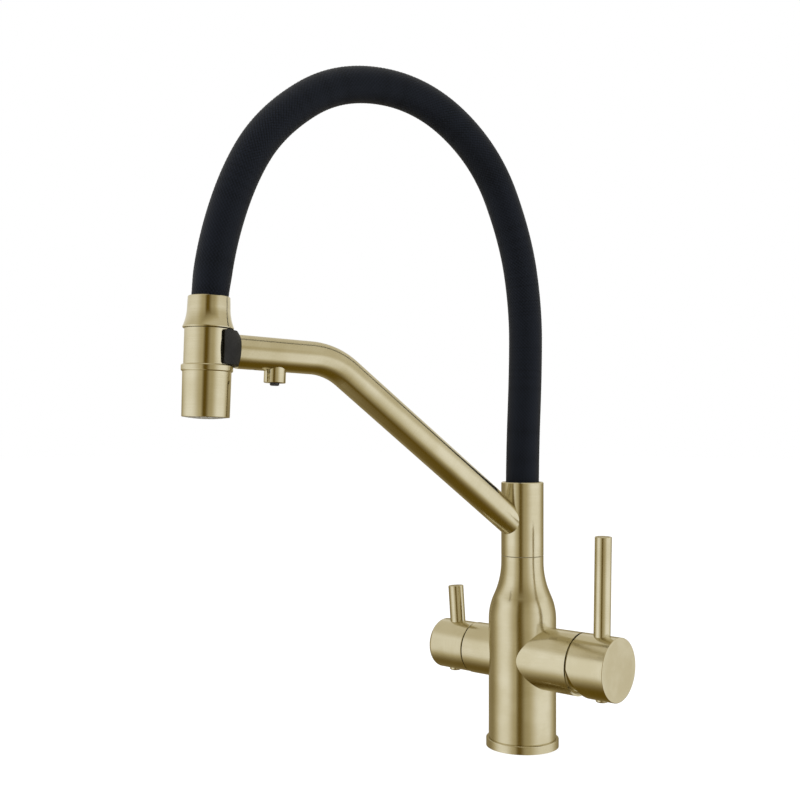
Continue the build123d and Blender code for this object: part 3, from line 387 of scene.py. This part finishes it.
@dataclass(frozen=True)
class Braid:
    """Black nylon yarn, with painted shade where the strands dip under each other."""

    name: str = "hose_braid"
    crown: Colour = (0.0048, 0.0063, 0.0115)
    # Painted shade: the colour where the strands dip under each other, much darker than the crowns.
    valley_shade: Colour = (0.0007, 0.0009, 0.0016)
    crown_span: Span = (0.15, 0.85)
    roughness: float = 0.55
    gloss: float = 0.16
    gloss_tint: Colour = (0.8, 0.9, 1.0)
    sheen: float = 0.05
    sheen_roughness: float = 0.4
    fuzz_cells: float = 3400.0
    fuzz_roughness: float = 0.2
    fuzz_depth: float = 0.00006
    height_name: str = "braid_height"

    def material(self) -> bpy.types.Material:
        """Builds the finish."""
        shader = Shader(self.name)
        settings = {"attribute_name": self.height_name}
        height = shader.node("ShaderNodeAttribute", settings, output="Fac")
        fuzz = shader.noise(shader.place(), self.fuzz_cells, detail=3.0)
        return shader.surface(
            # Painted shade in the braid's valleys, blended into the crown colour by the braid's
            # height.
            Base_Color=shader.blend(height.ease(*self.crown_span), self.valley_shade, self.crown),
            Roughness=(fuzz - NOISE_MIDDLE) * self.fuzz_roughness + self.roughness,
            Specular_IOR_Level=self.gloss,
            Specular_Tint=self.gloss_tint,
            Sheen_Weight=self.sheen,
            Sheen_Roughness=self.sheen_roughness,
            Normal=shader.bump(fuzz, self.fuzz_depth),
        )


# ------------------------------------------------------------------ mesh building
def polished(name: str, vertices: list[Vector], faces: list[tuple[int, ...]]) -> bpy.types.Object:
    """Makes a smooth shaded mesh object.

    Args:
        name: The object's name.
        vertices: Its points, in metres.
        faces: Its faces, as point numbers.

    Returns:
        The object, linked to the scene.
    """
    mesh = bpy.data.meshes.new(name)
    mesh.from_pydata(vertices, [], faces)
    mesh.polygons.foreach_set("use_smooth", [True] * len(faces))
    mesh.update()
    made = bpy.data.objects.new(name, mesh)
    bpy.context.scene.collection.objects.link(made)
    return made


def paint(thing: bpy.types.Object, material: bpy.types.Material) -> None:
    """Gives every face of a thing one material.

    Args:
        thing: A CAD node or a piece.
        material: Its finish.
    """
    if not thing.material_slots:
        thing.data.materials.append(material)
    for slot in thing.material_slots:
        slot.material = material


# ------------------------------------------------------------------ the tap's parts
class Builder(Protocol):
    """Anything that main() builds."""

    def build(self) -> object:
        """Adds itself to the scene and logs it."""


@dataclass
class DressedNodes:
    """CAD nodes that keep their shape and share one finish."""

    label: str
    finish: BrushedGold | TurnedMetal | Moulded
    nodes: tuple[str, ...]

    def build(self) -> None:
        """Dresses each node."""
        material = self.finish.material()
        for node in self.nodes:
            paint(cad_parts[node], material)
        log.info("%s: %d nodes", self.label, len(self.nodes))


@dataclass
class BraidedHose:
    """The hose arch: black braid over a soft core, from the column's socket to the head."""

    radius_mm: float = 11.0
    bore_mm: float = 4.5
    strands: int = 32
    pitch_mm: float = 2.3
    relief_mm: float = 0.34
    # Powers that flatten a strand's crown and steepen where it dips under the next.
    crown_power: float = 0.8
    dip_power: float = 0.35
    steps_round: int = 128
    steps_each_run: int = 96
    bore_stride: int = 8
    # The ferrule grips the hose over its end, which draws in before the ferrule's mouth.
    grip_mm: float = 0.5
    grip_start_mm: float = 30.0
    grip_end_mm: float = 15.0
    # A distance out from the column at the hose end's height; build() works out this point but
    # nothing uses it.
    bend_reach_mm: float = 200.0
    finish: Braid = field(default_factory=Braid)
    # Corners that guide the centreline in the spout's plane: outwards and up, in millimetres.
    route_mm: tuple[Span, ...] = (
        (0.0, 162.6),
        (0.0, 191.6),
        (-2.6, 248.0),
        (-2.6, 290.0),
        (5.7, 336.0),
        (29.5, 387.5),
        (77.5, 420.6),
        (136.0, 420.6),
        (180.1, 390.0),
        (203.2, 352.5),
        (218.6, 299.0),
        (219.5, 269.4),
    )

    def place(self, out_mm: float, up_mm: float) -> Vector:
        """A point of the spout's plane in the tap's frame.

        Args:
            out_mm: Distance from the column's axis.
            up_mm: Height above the deck.

        Returns:
            The point, in metres.
        """
        return MM * Vector((out_mm * cos(SPOUT_HEADING), out_mm * sin(SPOUT_HEADING), up_mm))

    def centreline(self) -> list[Vector]:
        """Points of the smooth line that the corners guide, evenly spread."""
        corners = [self.place(out, up) for out, up in self.route_mm]
        middles = [(a + b) / 2 for a, b in zip(corners, corners[1:])]
        middles[0] = corners[0]
        middles[-1] = corners[-1]
        dense = [corners[0]]
        for start, guide, end in zip(middles, corners[1:], middles[1:]):
            for step in range(1, self.steps_each_run + 1):
                t = step / self.steps_each_run
                dense.append((1 - t) ** 2 * start + 2 * t * (1 - t) * guide + t * t * end)
        return dense

    def relief(self, turn: float, run_mm: float) -> float:
        """How high the braid stands at a place, from 0 in a valley to 1 on a crown.

        Args:
            turn: The place round the hose, from 0 to 1.
            run_mm: The place along the hose.

        Returns:
            The height share.
        """
        right = self.strands * turn + run_mm / self.pitch_mm
        left = self.strands * turn - run_mm / self.pitch_mm
        across, under = abs(sin(pi * right)), abs(sin(pi * left))
        if (floor(right) + floor(left)) % 2:
            across, under = under, across
        return across**self.crown_power * under**self.dip_power

    def drawn_in(self, left_mm: float) -> float:
        """How much slimmer the hose is near the ferrule.

        Args:
            left_mm: The distance to the hose's end.

        Returns:
            The amount, in millimetres.
        """
        share = (self.grip_start_mm - left_mm) / (self.grip_start_mm - self.grip_end_mm)
        share = min(1.0, max(0.0, share))
        return self.grip_mm * share * share * (3 - 2 * share)

    def build(self) -> bpy.types.Object:
        """Builds the hose along its route from the column's socket to the head.

        Returns:
            The hose.
        """
        line = self.centreline()
        vertices, heights, run = [], [], 0.0
        length = sum((after - before).length for before, after in zip(line, line[1:])) / MM
        for number, point in enumerate(line):
            across, outward = self._section(line, number)
            run += (point - line[max(number - 1, 0)]).length / MM
            for step in range(self.steps_round):
                turn = step / self.steps_round
                height = self.relief(turn, run)
                sunk = self.relief_mm * (1 - height) + self.drawn_in(length - run)
                radius = (self.radius_mm - sunk) * MM
                angle = 2 * pi * turn
                vertices.append(point + radius * (cos(angle) * across + sin(angle) * outward))
                heights.append(height)
        for number in range(len(line) - 1, -1, -self.bore_stride):
            across, outward = self._section(line, number)
            for step in range(self.steps_round):
                angle = 2 * pi * step / self.steps_round
                spread = cos(angle) * across + sin(angle) * outward
                vertices.append(line[number] + self.bore_mm * MM * spread)
                heights.append(0.0)
        hose = polished("braided_hose", vertices, self._faces(len(vertices)))
        layer = hose.data.attributes.new(self.finish.height_name, "FLOAT", "POINT")
        layer.data.foreach_set("value", heights)
        paint(hose, self.finish.material())
        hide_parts("hose_cover", "hose_liner")
        level = self.route_mm[-1][1]
        start, end = self.place(0.0, level), self.place(self.bend_reach_mm, level)
        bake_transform(hose)
        log.info("braided_hose: %d points", len(vertices))
        return hose

    @staticmethod
    def _section(line: list[Vector], number: int) -> tuple[Vector, Vector]:
        """The two directions that the hose's section lies along.

        Args:
            line: The centreline.
            number: Which of its points.

        Returns:
            The direction across the spout's plane, and the one within it.
        """
        before, after = line[max(number - 1, 0)], line[min(number + 1, len(line) - 1)]
        across = Vector((-sin(SPOUT_HEADING), cos(SPOUT_HEADING), 0))
        return across, across.cross((after - before).normalized())

    def _faces(self, points: int) -> list[tuple[int, ...]]:
        """Joins each ring of points to the next, and the bore's last ring to the first one.

        Args:
            points: How many points all the rings have.

        Returns:
            The faces.
        """
        count = self.steps_round
        faces = []
        for ring in range(0, points, count):
            after = (ring + count) % points
            for step in range(count):
                following = (step + 1) % count
                faces.append((ring + step, ring + following, after + following, after + step))
        return faces


# ------------------------------------------------------------------ the studio
@dataclass
class PhotoCamera:
    """A level camera at the photograph's place."""

    place: Colour = (0.4270, -0.5993, 0.2092)
    turn: float = CAMERA_TURN
    lens: float = 49.5
    sensor: float = 36.0
    shift_up: float = 0.0375
    shift_right: float = -0.0004

    def build(self) -> None:
        """Makes the camera and hands it to the scene."""
        data = bpy.data.cameras.new("photo_camera")
        data.sensor_width = self.sensor
        data.lens = self.lens
        data.shift_x = self.shift_right
        data.shift_y = self.shift_up
        camera = bpy.data.objects.new("photo_camera", data)
        camera.location = self.place
        camera.rotation_euler = (pi / 2, 0, self.turn)
        bpy.context.scene.collection.objects.link(camera)
        bpy.context.scene.camera = camera
        log.info("photo_camera: lens %.1f mm", self.lens)


@dataclass(frozen=True)
class Panel:
    """One side of the light tent, by its azimuth in degrees away from the view's middle."""

    edge: Span
    body: Span
    back: Span
    edge_share: float

    def brightness(self, azimuth: Wire, behind: Wire) -> Wire:
        """How bright the side is in a direction.

        Args:
            azimuth: The direction's azimuth, towards this side.
            behind: How much darker the side's back is.

        Returns:
            The brightness, from 0 to 1.
        """
        front = azimuth.ease(*self.edge) * self.edge_share
        front = front + azimuth.ease(*self.body) * (1 - self.edge_share)
        return front * (1 - azimuth.ease(*self.back) * behind)


@dataclass
class Tent:
    """The light tent that bare metal mirrors: bright sides, a dark gap in front, a dark table."""

    radius: float = 0.62
    centre: float = 0.12
    rings: int = 24
    segments: int = 48
    left: Panel = Panel((19, 31), (30, 62), (72, 128), 0.5)
    right: Panel = Panel((-14, 6), (6, 54), (82, 142), 0.42)
    # Shares that darken the back and the upper part, and the heights, as sines, where parts change.
    back_dark: float = 0.8
    back_span: Span = (0.1, 0.5)
    roof_span: Span = (0.45, 0.8)
    rise_span: Span = (-0.98, -0.36)
    fall_span: Span = (0.28, 0.6)
    fall_dark: float = 0.35
    glow_stops: tuple[tuple[float, Colour], ...] = (
        (0.0, (0.14, 0.09, 0.01)),
        (0.5, (0.57, 0.51, 0.35)),
        (1.0, (1.05, 1.05, 1.06)),
    )

    def build(self) -> None:
        """Makes the tent, which only reflections see."""
        vertices = [Vector((0, 0, -self.radius))]
        for ring in range(1, self.rings):
            angle = pi * ring / self.rings - pi / 2
            for segment in range(self.segments):
                turn = 2 * pi * segment / self.segments
                spread = self.radius * cos(angle)
                vertices.append(
                    Vector((spread * cos(turn), spread * sin(turn), self.radius * sin(angle)))
                )
        vertices.append(Vector((0, 0, self.radius)))
        tent = polished("light_tent", vertices, self._faces())
        tent.location = (0, 0, self.centre)
        tent.visible_camera = False
        tent.visible_diffuse = False
        tent.visible_transmission = False
        tent.visible_shadow = False
        paint(tent, self._material())
        log.info("light_tent: radius %.2f m", self.radius)

    def _faces(self) -> list[tuple[int, ...]]:
        """Joins the tent's rings and its two poles."""
        count, last = self.segments, 1 + (self.rings - 1) * self.segments
        faces = []
        for step in range(count):
            after = (step + 1) % count
            faces.append((0, 1 + after, 1 + step))
            for ring in range(self.rings - 2):
                low, high = 1 + ring * count, 1 + (ring + 1) * count
                faces.append((low + step, low + after, high + after, high + step))
            top = 1 + (self.rings - 2) * count
            faces.append((top + step, top + after, last))
        return faces

    def _material(self) -> bpy.types.Material:
        """The tent's glow, by direction."""
        shader = Shader("light_tent")
        direction = shader.node(
            "ShaderNodeVectorMath", {"operation": "NORMALIZE"}, {0: shader.place()}
        )
        forward = Vector((sin(CAMERA_TURN), -cos(CAMERA_TURN), 0))
        right = Vector((cos(CAMERA_TURN), sin(CAMERA_TURN), 0))

        def share(axis: Vector) -> Wire:
            """How far the direction points along an axis."""
            settings = {"operation": "DOT_PRODUCT"}
            return shader.node("ShaderNodeVectorMath", settings, {0: direction, 1: axis}, "Value")

        across = share(right)
        azimuth = across.math("ARCTAN2", across, share(forward)) * (180 / pi)
        height = share(UP)
        behind = self.back_dark - height.ease(*self.back_span) * self.back_dark
        left_side = self.left.brightness(-1 * azimuth, behind)
        right_side = self.right.brightness(azimuth, behind)
        sides = left_side.larger(right_side).larger(height.ease(*self.roof_span))
        rise = height.ease(*self.rise_span) * (1 - height.ease(*self.fall_span) * self.fall_dark)
        settings = {"stops": self.glow_stops}
        glow = shader.node("ShaderNodeValToRGB", settings, {"Fac": sides * rise})
        light = shader.node("ShaderNodeEmission", {}, {"Color": glow, "Strength": 1.0})
        shader.node("ShaderNodeOutputMaterial", {}, {"Surface": light})
        return shader.material


@dataclass
class Studio:
    """The pale floor, the white surroundings and the soft lamps."""

    floor_size: float = 14.0
    floor_drop: float = 0.0002
    floor_colour: Colour = (0.9, 0.9, 0.9)
    floor_glow: float = 1.12
    floor_glow_share: float = 0.8
    surround: float = 0.62
    aim_height: float = 0.22
    # Name, place, size in metres and power in watts of each soft lamp.
    lamps: tuple[tuple[str, Colour, float, float], ...] = (
        ("left_softbox", (-0.9, -1.5, 1.1), 1.1, 22.0),
        ("right_softbox", (1.9, -0.2, 1.0), 1.1, 20.0),
        ("top_softbox", (0.0, -0.2, 2.0), 1.4, 22.0),
    )

    def build(self) -> None:
        """Builds the whole studio."""
        self._view()
        self._world()
        self._floor()
        for name, place, size, power in self.lamps:
            self._lamp(name, Vector(place), size, power)
        log.info("studio: %d lamps", len(self.lamps))

    @staticmethod
    def _view() -> None:
        """Shows colours as they are written."""
        bpy.context.scene.view_settings.view_transform = "Standard"

    def _world(self) -> None:
        """A white background round a softer light."""
        world = bpy.data.worlds.new("white_surround")
        world.use_nodes = True
        bpy.context.scene.world = world
        sheet = NodeSheet(world.node_tree)
        seen = self._seen(sheet)
        strength = seen * (1 - self.surround) + self.surround
        inputs = {"Color": WHITE, "Strength": strength}
        light = sheet.node("ShaderNodeBackground", {}, inputs)
        sheet.node("ShaderNodeOutputWorld", {}, {"Surface": light})

    @staticmethod
    def _seen(sheet: NodeSheet) -> Wire:
        """1 for rays that show the background itself, and 0 for those that light things."""
        camera = sheet.node("ShaderNodeLightPath", output="Is Camera Ray")
        glossy = sheet.node("ShaderNodeLightPath", output="Is Glossy Ray")
        clear = sheet.node("ShaderNodeLightPath", output="Is Transmission Ray")
        return camera.larger(glossy).larger(clear)

    def _floor(self) -> None:
        """A white floor that keeps the tap's soft shadow."""
        half = self.floor_size / 2
        sides = ((-half, -half), (half, -half), (half, half), (-half, half))
        corners = [Vector((x, y, -self.floor_drop)) for x, y in sides]
        floor_plane = polished("pale_floor", corners, [(0, 1, 2, 3)])
        floor_plane.visible_glossy = False
        shader = Shader("pale_floor")
        matt = shader.node("ShaderNodeBsdfDiffuse", {}, {"Color": (*self.floor_colour, 1.0)})
        inputs = {"Color": WHITE, "Strength": self.floor_glow}
        glow = shader.node("ShaderNodeEmission", {}, inputs)
        share = self._seen(shader) * self.floor_glow_share
        lift = shader.node("ShaderNodeMixShader", {}, {0: share, 1: matt, 2: glow})
        shader.node("ShaderNodeOutputMaterial", {}, {"Surface": lift})
        paint(floor_plane, shader.material)

    def _lamp(self, name: str, place: Vector, size: float, power: float) -> None:
        """Adds one soft lamp that points at the tap's middle.

        Args:
            name: The lamp's name.
            place: Where it stands.
            size: Its side, in metres.
            power: Its power, in watts.
        """
        data = bpy.data.lights.new(name, "AREA")
        data.shape = "SQUARE"
        data.size = size
        data.energy = power
        lamp = bpy.data.objects.new(name, data)
        aim = self.aim_height * UP - place
        turned = aim.to_track_quat("-Z", "Y").to_matrix().to_4x4()
        lamp.matrix_world = Matrix.Translation(place) @ turned
        lamp.visible_glossy = False
        bpy.context.scene.collection.objects.link(lamp)


def dressing() -> list[DressedNodes]:
    """Every CAD node that shows, or would show from inside, with its finish."""
    return [
        DressedNodes(
            "turned gold pieces on the column",
            BrushedGold(Lay.COLUMN),
            ("base_flange", "main_body", "spout_column", "lever_rod", "filter_rod"),
        ),
        DressedNodes(
            "gold valve pieces",
            BrushedGold(Lay.VALVE),
            ("lever_cap", "lever_plug", "filter_cap", "filter_plug", "trim_ring"),
        ),
        DressedNodes("gold arm", BrushedGold(Lay.CLIMB), ("spout_arm",)),
        DressedNodes(
            "gold head pieces",
            BrushedGold(Lay.HEAD, roughness=0.13, depth=0.000004),
            ("outlet_boss", "head_ferrule", "head_sleeve", "head_ring", "nozzle_shell"),
        ),
        DressedNodes(
            "bare brass",
            TurnedMetal("bare_brass", (0.78, 0.58, 0.26), 0.3),
            (
                "neck_stem",
                "hose_nipple",
                "filter_nipple",
                "hose_connector",
                "retaining_nut",
                "filter_valve_body",
                "filter_spindle",
                "lever_stem",
            ),
        ),
        DressedNodes(
            "bare steel",
            TurnedMetal("bare_steel", (0.55, 0.55, 0.56), 0.32),
            (
                "snap_ring",
                "connector_clip",
                "catch_ring",
                "pivot_pin",
                "lever_grub_screw",
                "filter_grub_screw",
                "dock_screw",
                "dock_magnet",
            ),
        ),
        DressedNodes(
            "black seals",
            Moulded("black_rubber", (0.02, 0.02, 0.021), 0.6),
            (
                "base_gasket",
                "stem_gasket",
                "swivel_o_rings",
                "connector_o_ring",
                "spindle_o_ring",
                "cartridge_seals",
                "filter_rubber_seat",
            ),
        ),
        DressedNodes(
            "dock",
            Moulded("dock_black", (0.0145, 0.0142, 0.0135), 0.55, gloss=0.12),
            ("dock_cradle",),
        ),
        DressedNodes(
            "outlet tip",
            Moulded("tip_black", (0.02, 0.02, 0.021), 0.42),
            ("outlet_insert",),
        ),
        DressedNodes(
            "slip washer",
            Moulded("slip_brown", (0.24, 0.2, 0.11), 0.5),
            ("slip_washer",),
        ),
        DressedNodes(
            "grey aerator",
            Moulded("aerator_grey", (0.21, 0.205, 0.18), 0.4),
            ("aerator_housing", "aerator_screen"),
        ),
        DressedNodes(
            "white mouldings",
            Moulded("white_moulding", (0.78, 0.78, 0.76), 0.42),
            (
                "cartridge_base",
                "cartridge_shell",
                "cartridge_rotor",
                "disc_carrier",
                "head_core",
                "filter_elbow",
                "filter_tube",
            ),
        ),
        DressedNodes(
            "ceramic discs",
            Moulded("ceramic_disc", (0.84, 0.82, 0.76), 0.16, grain=900.0, depth=0.000004),
            ("fixed_disc", "moving_disc", "filter_fixed_disc", "filter_moving_disc"),
        ),
    ]


def main() -> None:
    """Builds the camera and the studio, then dresses the tap, in order."""
    logging.basicConfig(level=logging.INFO, format="%(name)s: %(message)s")
    builders: list[Builder] = [PhotoCamera(), Studio(), Tent(), *dressing(), BraidedHose()]
    for builder in builders:
        builder.build()


if __name__ == "__main__":
    main()
